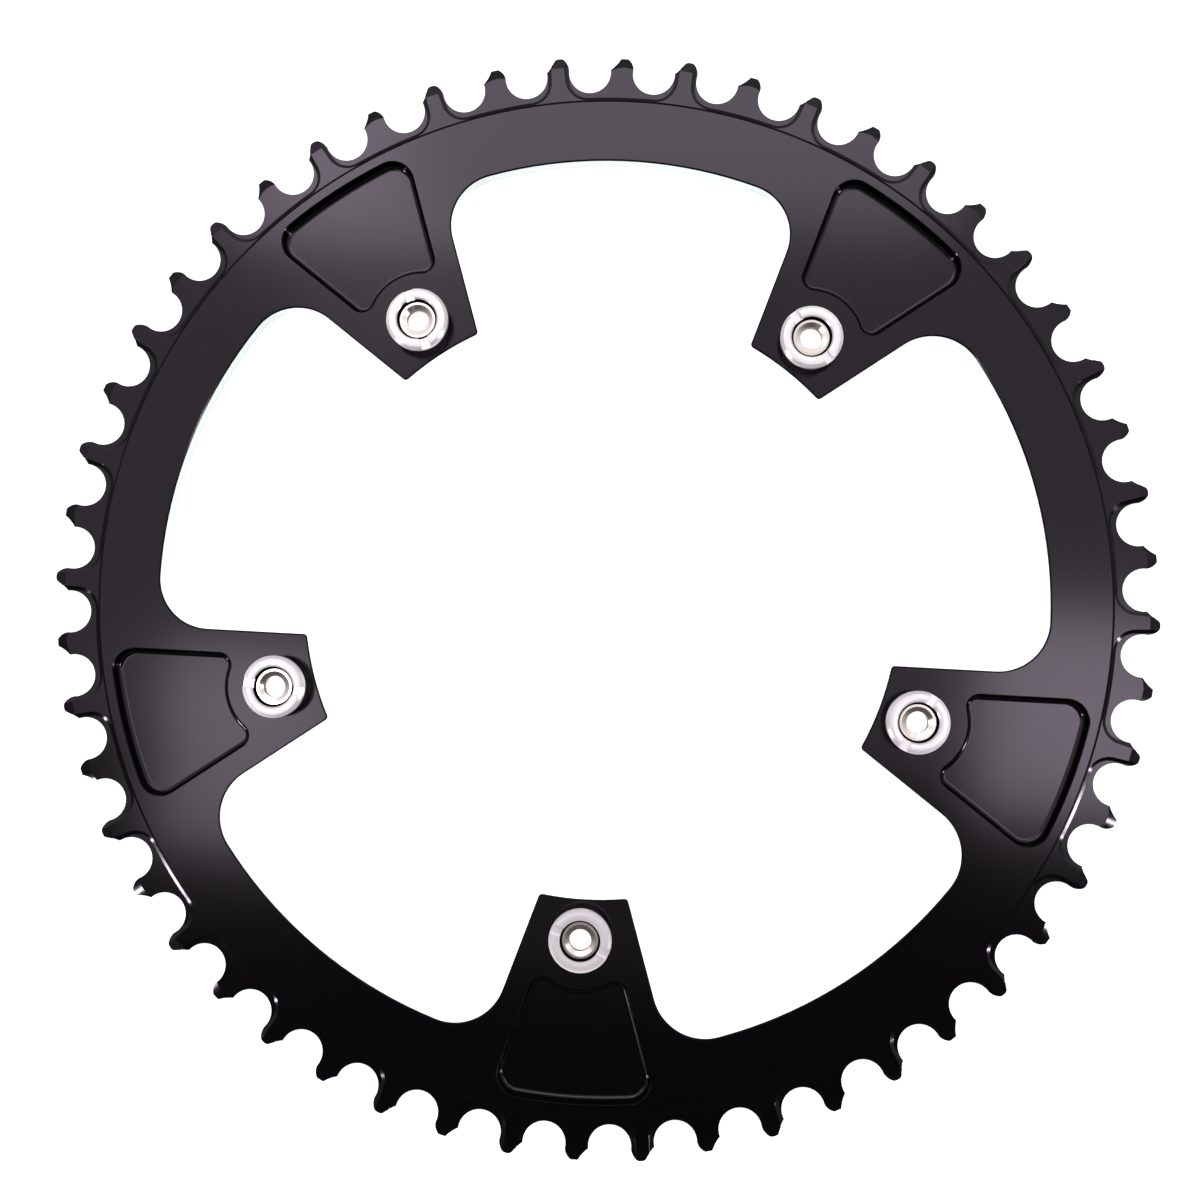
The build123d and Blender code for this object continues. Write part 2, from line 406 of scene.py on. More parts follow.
def eased(chain, corner, reach):
    """A chain whose corner at a point is rounded off within a reach."""
    place = min(range(len(chain)), key=lambda index: (chain[index] - corner).length)
    before = [point for point in chain[:place] if (point - corner).length > reach]
    after = [point for point in chain[place + 1:] if (point - corner).length > reach]
    start, end = (corner + (point - corner).normalized() * reach for point in (before[-1], after[0]))
    shares = [step / EASE_STEPS for step in range(EASE_STEPS + 1)]
    bend = [start.lerp(corner, share).lerp(corner.lerp(end, share), share) for share in shares]
    return [*before, *bend, *after]


def pitch_radius(teeth):
    """Radius of the circle that the chain's pins run on."""
    return teeth.chain_pitch / (2 * math.sin(math.pi / teeth.tooth_count))


def shoulder_radius(teeth):
    """Radius of the shoulder that the teeth stand on."""
    return pitch_radius(teeth) - teeth.seat_radius - teeth.shoulder_drop


def tooth_edge(sizes, rounding=0):
    """Edge of a tooth that points along +Y, from the seat on its right to the seat on its left."""
    half = math.pi / sizes.tooth_count
    pitch = pitch_radius(sizes)
    tip = pitch + sizes.tip_height
    right = Vector((math.sin(half), math.cos(half))) * pitch
    left = Vector((-right.x, right.y))
    seat = sizes.seat_radius
    floor = right * (1 - seat / pitch)
    round_foot = right + Vector((-math.sqrt(seat**2 - sizes.round_start**2), sizes.round_start))
    round_center = round_foot - Vector((sizes.round_radius, 0))
    reach = round_center.length
    along = (reach**2 + tip**2 - sizes.round_radius**2) / (2 * reach)
    round_end = turned(round_center.normalized() * tip, -math.acos(along / tip))
    ramp_end = Vector((-sizes.ramp_tip, math.sqrt(tip**2 - sizes.ramp_tip**2)))
    ramp_foot = left + Vector((math.sqrt(seat**2 - sizes.ramp_corner**2), sizes.ramp_corner))
    chord = ramp_foot - ramp_end
    outward = Vector((chord.y, -chord.x)).normalized()
    ramp_center = (ramp_end + ramp_foot) / 2
    ramp_center += outward * math.sqrt(sizes.ramp_radius**2 - (chord.length / 2) ** 2)
    edge = arc_between(right, floor, round_foot)
    edge += arc_between(round_center, round_foot, round_end)[1:]
    edge += arc_between(AXIS, round_end, ramp_end)[1:]
    edge += arc_between(ramp_center, ramp_end, ramp_foot)[1:]
    edge += arc_between(left, ramp_foot, Vector((-floor.x, floor.y)))[1:]
    if rounding:
        edge = eased(eased(edge, round_end, rounding), ramp_end, rounding)
    return edge


class ToothForm:
    """Heights over the mid-plane, and the lines between surfaces, of a tooth that points along +Y."""

    # Half the length of the bevel's edge on a narrow tip, in half thicknesses, and how many points at
    # each of its ends lie beside the tip
    BEVEL_REACH = 2.3
    POINTS_BESIDE = 2

    def __init__(self, sizes, wide, shoulder):
        self.half = math.pi / sizes.tooth_count
        self.sizes = sizes
        self.wide = wide
        self.tip = pitch_radius(sizes) + sizes.tip_height
        self.wall_rise = sizes.wide_half - sizes.narrow_half - sizes.foot_rise
        self.pad_edge = sizes.foot_run + sizes.wall_run
        self.wall_foot = shoulder + sizes.shoulder_break + self.pad_edge
        reach = self.wall_foot + sizes.pad_flare
        self.flare_turn = math.asin((sizes.pad_foot_half + self.pad_edge + sizes.pad_flare) / reach)
        self.flare_center = Vector((math.sin(self.flare_turn), math.cos(self.flare_turn))) * reach

    def pad_half_width(self, height):
        """Half the width of a pad's top above its foot."""
        sizes = self.sizes
        share = (height - self.flare_center.y) / (self.tip - self.flare_center.y)
        return sizes.pad_foot_half + (sizes.pad_tip_half - sizes.pad_foot_half) * share

    def behind_foot(self, point):
        """Distance of a point behind the foot of the walls round a narrow tooth."""
        aside = Vector((abs(point.x), point.y))
        if self.wide and aside.y > self.flare_center.y:
            return self.pad_half_width(aside.y) + self.pad_edge - aside.x
        if self.wide and math.atan2(aside.x, aside.y) < self.flare_turn:
            return (aside - self.flare_center).length - self.sizes.pad_flare
        return self.wall_foot - aside.length

    def rise(self, behind):
        """Height of the walls over a narrow tooth's side, at a distance behind their foot."""
        sizes = self.sizes
        on_foot = min(1, max(0, behind / sizes.foot_run))
        on_wall = min(1, max(0, (behind - sizes.foot_run) / sizes.wall_run))
        return sizes.foot_rise * on_foot + self.wall_rise * on_wall

    def bevel_start(self, aside):
        """Height at which the tip's bevel starts, at a distance beside the tooth's middle."""
        sizes = self.sizes
        if self.wide:
            return self.tip - sizes.wide_bevel
        sag = aside**2 * sizes.narrow_bevel / (2 * sizes.narrow_crown * sizes.narrow_drop)
        return self.tip - sizes.narrow_bevel + sizes.narrow_skew * aside - sag

    def height(self, point):
        """Height of the tooth's side over the mid-plane."""
        sizes = self.sizes
        past = max(0, point.y - self.bevel_start(point.x))
        height = sizes.narrow_half + self.rise(self.behind_foot(point))
        if not self.wide:
            return height - sizes.narrow_drop * past / sizes.narrow_bevel
        return min(height, sizes.wide_half - sizes.wide_drop * past / sizes.wide_bevel)

    def lines(self):
        """Lines on the tooth's side where one surface ends and the next begins."""
        sizes = self.sizes
        half, flare_turn = math.degrees(self.half), math.degrees(self.flare_turn)
        fine = half / TOOTH_STEPS
        if not self.wide:
            reach = sizes.narrow_half * self.BEVEL_REACH
            spots = [reach * step / TOOTH_STEPS for step in range(-TOOTH_STEPS, TOOTH_STEPS + 1)]
            edge = [Vector((spot, self.bevel_start(spot))) for spot in spots]
            inner = edge[self.POINTS_BESIDE:-self.POINTS_BESIDE]
            ribs = [[point, Vector((point.x, self.tip))] for point in inner]
            feet = [self.wall_foot, self.wall_foot - sizes.foot_run]
            return [edge, *ribs, *(arc(AXIS, radius, 90 + half, 90 - half, fine) for radius in feet)]
        chains = []
        for behind in (0, sizes.foot_run, self.pad_edge):
            tip = Vector((sizes.pad_tip_half + self.pad_edge - behind, self.tip))
            flare = arc(self.flare_center, sizes.pad_flare + behind, 180, 270 - flare_turn)
            rest = arc(AXIS, self.wall_foot - behind, 90 - flare_turn, 90 - half, fine)
            side = [tip, *flare, *rest[1:]]
            chains += [side, mirrored(side, (-1, 1))]
        start = self.bevel_start(0)
        edge = self.pad_half_width(start)
        out = Vector((edge + sizes.wall_run, start + self.wall_rise * sizes.wide_bevel / sizes.wide_drop))
        across = [out, Vector((edge, start)), Vector((-edge, start)), Vector((-out.x, out.y))]
        return [*chains, across]


def tooth_pair(teeth, body):
    """One narrow and one wide tooth with their part of the shoulder, about the +Y axis."""
    step = 2 * math.pi / teeth.tooth_count
    shoulder = shoulder_radius(teeth)
    face = body.half_thickness
    broken = teeth.edge_break
    narrow, wide = (ToothForm(teeth, is_wide, shoulder) for is_wide in (False, True))
    forms = [(narrow, -step / 2), (wide, step / 2)]
    edge = [turned(point, -step / 2) for point in tooth_edge(teeth)]
    edge += [turned(point, step / 2) for point in tooth_edge(teeth, teeth.wide_round)[1:]]

    def height(point):
        form, turn = forms[0] if point.x > 0 else forms[1]
        return form.height(turned(point, -turn))

    side = math.degrees(step)
    foot = narrow.wall_foot
    seam_row = arc(AXIS, shoulder - body.seam_inset, 90 - side, 90 + side, 2 * side / SEAM_STEPS)
    chains = [(edge, None), (set_in(edge, broken), None), (seam_row, face)]
    for radius, level in ((shoulder, face), (shoulder + teeth.shoulder_break, teeth.wide_half)):
        chains.append((arc(AXIS, radius, 90 - side, 90 + side, 2 * side / SHOULDER_STEPS), level))
    across = list(chains)
    for end in (0, -1):
        ends = [chain[end] for chain, level in across]
        ends += [ends[0].normalized() * radius for radius in (foot, foot - teeth.foot_run)]
        chains.append((sorted(ends, key=lambda point: point.length), None))
    for form, turn in forms:
        chains += [([turned(point, turn) for point in line], None) for line in form.lines()]
    upper = Sheet(chains, height, lambda point: point.length > narrow.tip)
    inside = math.cos(step) + SIDE_MARGIN

    def on_outline(middle):
        flat = middle.xy
        return flat.length > foot and flat.y / flat.length > inside

    outline = upper.borders(on_outline)
    upper.lowered(outline, broken)
    lower = upper.turned_over()
    shell = Shell()
    shell.sheet(upper)
    shell.sheet(lower, flipped=True)
    shell.walls(upper, lower, outline)
    return shell.piece("tooth_pair", (0, 0, face))


def arm_lines(body):
    """Place of the bolt in an arm along +X, and the ways along the arm's side and out of it."""
    way = Vector((math.cos(body.arm_slope), math.sin(body.arm_slope)))
    return Vector((body.bolt_circle, 0)), way, Vector((-way.y, way.x))


def opening_edge(body, shoulder):
    """Edge of the opening round an arm along +X, from the middle of one window to the next."""
    bolt, way, out = arm_lines(body)
    window = shoulder - body.rim_width
    side = bolt + out * body.arm_half_width
    root = rolling_center(side + out * body.root_fillet, way, AXIS, window - body.root_fillet)
    end = body.bolt_circle - body.arm_reach
    corner = rolling_center(side - out * body.end_corner, way, AXIS, end + body.end_corner)
    window_half = 180 / body.arm_count
    half = arc(AXIS, end, 0, bearing(corner, AXIS), END_STEP)
    half += arc_between(corner, corner.normalized() * end, corner + out * body.end_corner)[1:]
    half += arc_between(root, root - out * body.root_fillet, root.normalized() * window)
    half += arc(AXIS, window, bearing(root, AXIS), window_half, RIM_STEP)[1:]
    return mirrored(half[1:], (1, -1)) + half


def pocket_edge(body, shoulder):
    """Edge of the pocket in an arm along +X, counter-clockwise and closed."""
    bolt, way, out = arm_lines(body)
    side = bolt + out * (body.arm_half_width - body.pocket_web)
    rim = shoulder - body.pocket_rim
    outer = rolling_center(side - out * body.pocket_outer, way, AXIS, rim - body.pocket_outer)
    boss = body.pocket_bite
    inner = rolling_center(side - out * body.pocket_inner, way, bolt, boss + body.pocket_inner)
    toward = (inner - bolt).normalized()
    half = arc(AXIS, rim, 0, bearing(outer, AXIS), RIM_STEP)
    half += arc_between(outer, outer.normalized() * rim, outer + out * body.pocket_outer)[1:]
    half += arc_between(inner, inner + out * body.pocket_inner, bolt + toward * boss)
    half += arc(bolt, boss, bearing(inner, bolt), 0)[1:]
    return half + mirrored(half[:-1], (1, -1))


def arm_sector(teeth, body):
    """One arm along +X with its part of the rim, its pocket and its bolt hole."""
    shoulder = shoulder_radius(teeth)
    seam = shoulder - body.seam_inset
    top = 2 * body.half_thickness
    bolt = Vector((body.bolt_circle, 0))
    half = 180 / body.arm_count
    seam_row = arc(AXIS, seam, -half, half, 2 * 360 / (teeth.tooth_count * SEAM_STEPS))
    edge = opening_edge(body, shoulder)
    inset = set_in(list(reversed(edge)), body.edge_break)
    sides = [([seam_row[end], inset[-1 - end], edge[end]], None) for end in (0, -1)]
    shared = [(seam_row, None), (edge, None), (inset, None), *sides]
    hole, sink, broken = body.bolt_hole, body.counterbore, body.edge_break / 2
    pocket = pocket_edge(body, shoulder)
    floor = top - body.pocket_depth
    draft, side_draft = body.pocket_draft, body.pocket_side_draft
    fillet = body.pocket_floor
    rim = shoulder - body.pocket_rim
    shares = [min(1, max(0, 1 - (rim - point.length) / body.pocket_outer)) for point in pocket]

    def sunk(run):
        """The pocket's edge moved in by its draft and a run past it."""
        spots = zip(set_in(pocket, side_draft + run), set_in(pocket, draft + run), shares)
        return [near.lerp(far, share) for near, far, share in spots]

    rows = [(set_in(pocket, -body.pocket_edge), top), (pocket, top - body.pocket_edge)]
    lean = math.degrees(math.atan2(draft, body.pocket_depth - body.pocket_edge - fillet))
    for step in range(FILLET_STEPS + 1):
        turn = math.radians(lean + (90 - lean) * step / FILLET_STEPS)
        run = fillet * (1 - math.cos(turn))
        rise = fillet * (1 - math.sin(turn))
        rows.append((sunk(run), floor + rise))
    rows.append((sunk(fillet + FLAT_GUARD), floor))
    rings = [(circle(bolt, hole + broken), top), (circle(bolt, hole), top - broken)]
    upper_chains = [*shared, *rows, *rings]
    upper = Sheet(upper_chains, lambda point: top, lambda point: (point - bolt).length < hole)
    rings = [(circle(bolt, sink + broken), 0), (circle(bolt, sink), broken)]
    lower = Sheet([*shared, *rings], lambda point: 0, lambda point: (point - bolt).length < sink)

    def on_opening(middle):
        flat = middle.xy
        straight = abs(abs(bearing(flat, AXIS)) - half) < SIDE_ANGLE_MARGIN
        inside = flat.length < seam - body.edge_break
        return inside and not straight and (flat - bolt).length > sink + broken

    outline = upper.borders(on_opening)
    lower_outline = lower.borders(on_opening)
    upper.lowered(outline, body.edge_break)
    lower.lowered(lower_outline, -body.edge_break)
    shell = Shell()
    shell.sheet(upper)
    shell.sheet(lower, flipped=True)
    shell.band(raised(edge, body.edge_break), raised(edge, top - body.edge_break), closed=False)
    ledge = body.half_thickness
    levels = [(sink, broken), (sink, ledge), (hole, ledge), (hole, top - broken)]
    shell.rows([raised(circle(bolt, radius), level) for radius, level in levels], closed=False)
    return shell.piece("arm_sector")


def thread_profile(start, end, crest, root, pitch):
    """Radii and heights of a thread's crests and roots between two heights."""
    count = round(abs(end - start) / pitch)
    rise = (end - start) / count
    profile = []
    for index in range(count):
        foot = start + rise * index
        profile += [(crest, foot), (root, foot + rise * 0.5)]
    return [*profile, (crest, end)]


def sleeve_nut(sizes):
    """A sleeve nut on the Z axis with its slot along X."""
    top, head, crown = sizes.nut_top, sizes.nut_head, sizes.nut_crown
    flat_end = head - sizes.nut_bevel_run
    mouth = sizes.mouth
    bore = sizes.thread + sizes.thread_gap
    mouth_end = bore + MOUTH_LEDGE
    middle = (flat_end + mouth) / 2
    floor = top - sizes.slot_depth
    half = sizes.slot_width / 2
    broken, edge = NUT_EDGE, FOOT_EDGE
    # Half way to its edges a shallow dome has lost a quarter of its height
    profile = [
        (mouth_end, top - (mouth - mouth_end)),
        (mouth, top - crown),
        ((mouth + middle) / 2, top - crown / 4),
        (middle, top),
        ((middle + flat_end) / 2, top - crown / 4),
        (flat_end, top - crown),
        (head - broken, top - sizes.nut_bevel_drop),
        (head, top - sizes.nut_bevel_drop - broken),
    ]

    def height(point):
        radius = min(max(point.length, mouth_end), head)
        level = top
        for (inner, low), (outer, high) in zip(profile, profile[1:]):
            if inner <= radius <= outer:
                level = low + (high - low) * (radius - inner) / (outer - inner)
        aside = abs(point.y) - half
        if aside < -broken / 2:
            return floor
        return level - broken * max(0, 1 - aside / broken)

    chains = [(circle(AXIS, radius, FASTENER_STEP), None) for radius, level in profile]
    for aside in (half + broken, half, half - broken):
        for sign in (1, -1):
            chains.append(([Vector((-head, sign * aside)), Vector((head, sign * aside))], None))
    upper = Sheet(chains, height, lambda point: not mouth_end < point.length < head)
    outer_edges = upper.borders(lambda point: point.xy.length > flat_end)
    inner_edges = upper.borders(lambda point: point.xy.length < mouth)
    seat = top - sizes.nut_head_thickness
    foot = sizes.sleeve_foot
    outer = [(head, seat + edge), (head - edge, seat), (sizes.sleeve, seat)]
    outer += [(sizes.sleeve, foot + edge), (sizes.sleeve - edge, foot)]
    start, end = floor - THREAD_LEAD, foot + THREAD_END
    inner = thread_profile(start, end, bore, bore - sizes.thread_depth, sizes.thread_pitch)
    inner += [(bore + edge, foot)]
    shell = Shell()
    shell.sheet(upper)
    ends = []
    for edges, levels in ((outer_edges, outer), (inner_edges, inner)):
        for a, b in edges:
            spots = [upper.corners[a], upper.corners[b]]
            rows = [spots]
            for radius, level in levels:
                rows.append(raised([spot.xy.normalized() * radius for spot in spots], level))
            shell.rows(rows, closed=False)
            ends.append((rows[-1][0].xy, rows[-1][1].xy))
    rims = [([a, b], foot) for a, b in ends]
    under = Sheet(rims, lambda point: foot, lambda point: point.length < bore + edge)
    shell.sheet(under, flipped=True)
    return shell.piece("sleeve_nut")


def hollow_bolt(sizes):
    """A hollow bolt on the Z axis, its hexagon socket facing down."""
    head, thread = sizes.bolt_head, sizes.thread
    end, foot = sizes.bolt_end, sizes.sleeve_foot
    root = thread - sizes.thread_depth
    edge = BOLT_EDGE
    sixth = math.pi / 3
    mouth = sizes.socket_half / math.cos(sixth / 2) + FOOT_EDGE
    turns = [math.radians(degrees) for degrees in range(0, 360, FASTENER_STEP)]
    reach = [sizes.socket_half / math.cos((t + sixth / 2) % sixth - sixth / 2) for t in turns]

    def hexagon(level):
        return [Vector((r * math.cos(t), r * math.sin(t), level)) for r, t in zip(reach, turns)]

    profile = [(sizes.bolt_hole, sizes.socket_depth), (sizes.bolt_hole, end - sizes.sink_depth)]
    profile += [(sizes.sink, end), (thread - edge, end), (thread, end - edge)]
    profile += thread_profile(end - 2 * edge, foot + edge, thread, root, sizes.thread_pitch)
    profile += [(root, foot), (head - edge / 2, foot), (head, foot - edge / 2)]
    profile += [(head, edge), (head - edge, 0), (mouth, 0)]
    rows = [ring_row(mouth, 0, FASTENER_STEP), hexagon(edge), hexagon(sizes.socket_depth)]
    rows += [ring_row(radius, level, FASTENER_STEP) for radius, level in profile]
    shell = Shell()
    shell.rows(rows)
    return shell.piece("hollow_bolt")


def new_node(tree, kind, inputs=None, settings=None):
    """Add a node, with its settings and its inputs: values, sockets, or nodes for their first outputs."""
    node = tree.nodes.new(kind)
    for name, value in (settings or {}).items():
        setattr(node, name, value)
    for name, value in (inputs or {}).items():
        if isinstance(value, bpy.types.Node):
            value = value.outputs[0]
        if isinstance(value, bpy.types.NodeSocket):
            tree.links.new(value, node.inputs[name])
        else:
            node.inputs[name].default_value = value
    return node


def math_node(tree, operation, *values):
    """Add a Math node on some values."""
    return new_node(tree, "ShaderNodeMath", dict(enumerate(values)), {"operation": operation})


def tree_with(name, inputs):
    """A new Geometry Nodes tree with named inputs and one geometry output."""
    tree = bpy.data.node_groups.new(name, "GeometryNodeTree")
    for label, kind in inputs.items():
        tree.interface.new_socket(label, in_out="INPUT", socket_type="NodeSocket" + kind)
    tree.interface.new_socket("Geometry", in_out="OUTPUT", socket_type="NodeSocketGeometry")
    return tree, new_node(tree, "NodeGroupInput").outputs


def copies_on(tree, points, source, turn):
    """Copies of an object on points, each turned about Z by its own angle."""
    model = new_node(tree, "GeometryNodeObjectInfo", {"Object": source})
    spin = new_node(tree, "ShaderNodeCombineXYZ", {"Z": turn})
    return new_node(tree, "GeometryNodeInstanceOnPoints", {
        "Points": points, "Instance": model.outputs["Geometry"], "Rotation": spin,
    })


def finished(tree, geometry, finish):
    """End a tree with geometry of one finish."""
    painted = new_node(tree, "GeometryNodeSetMaterial", {"Geometry": geometry, "Material": finish})
    new_node(tree, "NodeGroupOutput", {"Geometry": painted})
    return tree


def ring_tree():
    """Tree that sets a tooth pair and an arm round the axis and welds them to one ring."""
    tree, given = tree_with("ring_from_sectors", {
        "Geometry": "Geometry", "Tooth pair": "Object", "Tooth pairs": "Int", "Arm": "Object",
        "Arms": "Int", "First arm": "Float", "Weld": "Float", "Finish": "Material",
    })
    joined = new_node(tree, "GeometryNodeJoinGeometry")
    # Tooth pairs are drawn about +Y and start half a step past the first arm. Arms are drawn along +X.
    sectors = (("Tooth pair", "Tooth pairs", 0.5, -math.pi / 2), ("Arm", "Arms", 0, 0))
    for sector, count, first, own_turn in sectors:
        places = new_node(tree, "GeometryNodeMeshLine", {"Count": given[count], "Offset": (0, 0, 0)})
        step = math_node(tree, "DIVIDE", 2 * math.pi, given[count])
        place = math_node(tree, "ADD", new_node(tree, "GeometryNodeInputIndex"), first)
        turn = math_node(tree, "MULTIPLY_ADD", place, step, given["First arm"])
        aimed = math_node(tree, "ADD", turn, own_turn)
        copies = copies_on(tree, places, given[sector], aimed)
        tree.links.new(copies.outputs[0], joined.inputs[0])
    real = new_node(tree, "GeometryNodeRealizeInstances", {"Geometry": joined})
    welded = new_node(tree, "GeometryNodeMergeByDistance", {"Geometry": real, "Distance": given["Weld"]})
    return finished(tree, welded, given["Finish"])


def fastener_tree():
    """Tree that sets a fastener on each bolt axis, turned by its own angle."""
    inputs = {"Geometry": "Geometry", "Fastener": "Object", "Finish": "Material"}
    tree, given = tree_with("fasteners_on_bolt_circle", inputs)
    turn = new_node(tree, "GeometryNodeInputNamedAttribute", {"Name": "turn"}, {"data_type": "FLOAT"})
    copies = copies_on(tree, given["Geometry"], given["Fastener"], turn)
    real = new_node(tree, "GeometryNodeRealizeInstances", {"Geometry": copies})
    return finished(tree, real, given["Finish"])


def grown(name, base, tree, values):
    """A plain mesh object from a tree's result on a base mesh."""
    holder = placed(name + "_base", base)
    modifier = holder.modifiers.new("grow", "NODES")
    modifier.node_group = tree
    for item in tree.interface.items_tree:
        if item.in_out == "INPUT" and item.name in values:
            modifier[item.identifier] = values[item.name]
    seen = holder.evaluated_get(bpy.context.evaluated_depsgraph_get())
    mesh = bpy.data.meshes.new_from_object(seen)
    # The base has no finish, and its empty slot would come before the tree's
    mesh.materials.pop(index=0)
    bpy.data.objects.remove(holder)
    tidy = bmesh.new()
    tidy.from_mesh(mesh)
    open_edges = sum(not edge.is_manifold for edge in tidy.edges)
    if open_edges:
        raise RuntimeError(f"{name} has {open_edges} open edges")
    bmesh.ops.recalc_face_normals(tidy, faces=tidy.faces)
    tidy.to_mesh(mesh)
    tidy.free()
    mesh.shade_smooth()
    mesh.set_sharp_from_angle(angle=SHARP_ANGLE)
    mesh.name = name
    return placed(name, mesh)


def settle(piece, node):
    """Put a finished piece under the root body and hide the part of model.glb that it stands for."""
    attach(piece, "root")
    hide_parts(node)


def plain_material(name, shade, metallic, roughness):
    """A surface of one colour."""
    material = bpy.data.materials.new(name)
    material.use_nodes = True
    shader = material.node_tree.nodes["Principled BSDF"]
    shader.inputs["Base Color"].default_value = (*shade, 1)
    shader.inputs["Metallic"].default_value = metallic
    shader.inputs["Roughness"].default_value = roughness
    return material


def anodised_black(finishes):
    """Black anodised aluminium, bead-blasted: a dark satin sheen that shows the lamps softly."""
    return plain_material("black anodised aluminium", finishes.anodised, metallic=1, roughness=0.13)


def milled_black(finishes):
    """Black anodised aluminium as the cutter left it: walls that turn to mirrors at a glancing view."""
    material = plain_material(
        "black anodised aluminium milled", finishes.anodised, metallic=1, roughness=0.12
    )
    tree = material.node_tree
    shader = tree.nodes["Principled BSDF"]
    sharpness = 3.0
    facing = new_node(tree, "ShaderNodeLayerWeight", {"Blend": 0.75})
    glance = math_node(tree, "POWER", facing.outputs["Facing"], sharpness)
    mirror = (0.95, 0.95, 0.95, 1)
    gloss = new_node(tree, "ShaderNodeBsdfGlossy", {"Color": mirror, "Roughness": 0.05})
    mixed = new_node(tree, "ShaderNodeMixShader", {0: glance, 1: shader, 2: gloss})
    tree.links.new(mixed.outputs[0], tree.nodes["Material Output"].inputs["Surface"])
    return material


def satin_aluminium(finishes):
    """Turned and clear-anodised aluminium: a pale silver that stays bright from every side."""
    return plain_material("satin aluminium", finishes.satin, metallic=0.4, roughness=0.25)


def polished_aluminium(finishes):
    """Polished aluminium: a warm mirror that shows the lamps and the dark room."""
    return plain_material("polished aluminium", finishes.polished, metallic=1, roughness=0.14)


def painted_thread_shade(finishes):
    """Dark aluminium as painted shade: thin dark rings in the gap between the nut and the bolt and in the
    bolt's bore.
    """
    return plain_material("dark aluminium thread, painted shade", finishes.thread, metallic=1, roughness=0.3)


def backdrop_white(finishes):
    """Matt white board that stands round the stage and takes only the lamps' light."""
    return plain_material("matt white backdrop", finishes.backdrop, metallic=0, roughness=1)


def floor_white(finishes):
    """Matt white board: seen, and mirrored in metal, as bright as paper under strong light."""
    material = bpy.data.materials.new("matt white board")
    material.use_nodes = True
    tree = material.node_tree
    tree.nodes.clear()
    path = new_node(tree, "ShaderNodeLightPath")
    seen = math_node(tree, "MAXIMUM", path.outputs["Is Camera Ray"], path.outputs["Is Glossy Ray"])
    shown = math_node(tree, "MAXIMUM", seen, path.outputs["Is Transmission Ray"])
    plain = new_node(tree, "ShaderNodeBsdfDiffuse", {"Color": (*finishes.floor, 1)})
    glow = new_node(tree, "ShaderNodeEmission", {"Color": (*finishes.floor, 1), "Strength": 0.9})
    lit = new_node(tree, "ShaderNodeAddShader", {0: plain, 1: glow})
    mixed = new_node(tree, "ShaderNodeMixShader", {0: shown, 1: plain, 2: lit})
    new_node(tree, "ShaderNodeOutputMaterial", {"Surface": mixed})
    return material


def finish_where(piece, material, chosen):
    """Give the faces of a piece that a test picks a second finish."""
    piece.data.materials.append(material)
    for face in piece.data.polygons:
        if chosen(face):
            face.material_index = 1


def within(axes, ranges):
    """A test for the faces that lie in ranges of radii round the nearest of some axes."""

    def chosen(face):
        radius = min((face.center.xy - axis).length for axis in axes)
        return any(inner < radius < outer for inner, outer in ranges)

    return chosen


class CHAINRING_OT_ring(bpy.types.Operator):
    """Build the ring from one tooth pair and one arm"""

    bl_idname = "chainring.ring"
    bl_label = "Ring"

    def execute(self, context):
        scene = context.scene
        teeth, body = scene.chainring_teeth, scene.chainring_body
        pair = tooth_pair(teeth, body)
        arm = arm_sector(teeth, body)
        ring = grown("ring", bpy.data.meshes.new("ring_base"), ring_tree(), {
            "Tooth pair": pair,
            "Tooth pairs": teeth.tooth_count // 2,
            "Arm": arm,
            "Arms": body.arm_count,
            "First arm": body.first_arm,
            "Weld": WELD,
            "Finish": anodised_black(scene.chainring_finishes),
        })
        bpy.data.objects.remove(pair)
        bpy.data.objects.remove(arm)
        milled = milled_black(scene.chainring_finishes)
        finish_where(ring, milled, lambda face: abs(face.normal.z) < UPRIGHT)
        settle(ring, "chainring")
        return {"FINISHED"}


def bolt_axes(body):
    """Places of the bolts in the plan."""
    angles = [body.first_arm + index * 2 * math.pi / body.arm_count for index in range(body.arm_count)]
    return [Vector((body.bolt_circle * math.cos(a), body.bolt_circle * math.sin(a))) for a in angles]


def fitted(name, axes, turns, tree, fastener, finish):
    """Copies of a fastener on the bolt axes, each turned by its own angle."""
    places = bpy.data.meshes.new("bolt_places")
    places.from_pydata(raised(axes, 0), [], [])
    places.attributes.new("turn", "FLOAT", "POINT").data.foreach_set("value", turns)
    pieces = grown(name, places, tree, {"Fastener": fastener, "Finish": finish})
    bpy.data.objects.remove(fastener)
    return pieces


class CHAINRING_OT_fasteners(bpy.types.Operator):
    """Build the sleeve nuts and the hollow bolts, one of each on every arm"""

    bl_idname = "chainring.fasteners"
    bl_label = "Nuts and bolts"

    def execute(self, context):
        scene = context.scene
        sizes, finishes = scene.chainring_fasteners, scene.chainring_finishes
        axes = bolt_axes(scene.chainring_body)
        tree = fastener_tree()
        # Painted shade: faces round each bolt's axis, in the thread's gap and the bolt's bore, take a dark
        # finish that stands in for their shade.
        thread_shade = painted_thread_shade(finishes)
        shade_reach = sizes.oil_reach
        satin, polished = satin_aluminium(finishes), polished_aluminium(finishes)
        nuts = fitted("nuts", axes, list(sizes.slot_turns), tree, sleeve_nut(sizes), satin)
        finish_where(nuts, thread_shade, within(axes, [(0, shade_reach)]))
        settle(nuts, "sleeve_nuts")
        bolts = fitted("bolts", axes, [0.0] * len(axes), tree, hollow_bolt(sizes), polished)
        bore = sizes.bolt_hole + sizes.thread_gap
        gap = sizes.thread - sizes.thread_depth - sizes.thread_gap
        finish_where(bolts, thread_shade, within(axes, [(0, bore), (gap, shade_reach)]))
        settle(bolts, "sleeve_bolts")
        return {"FINISHED"}


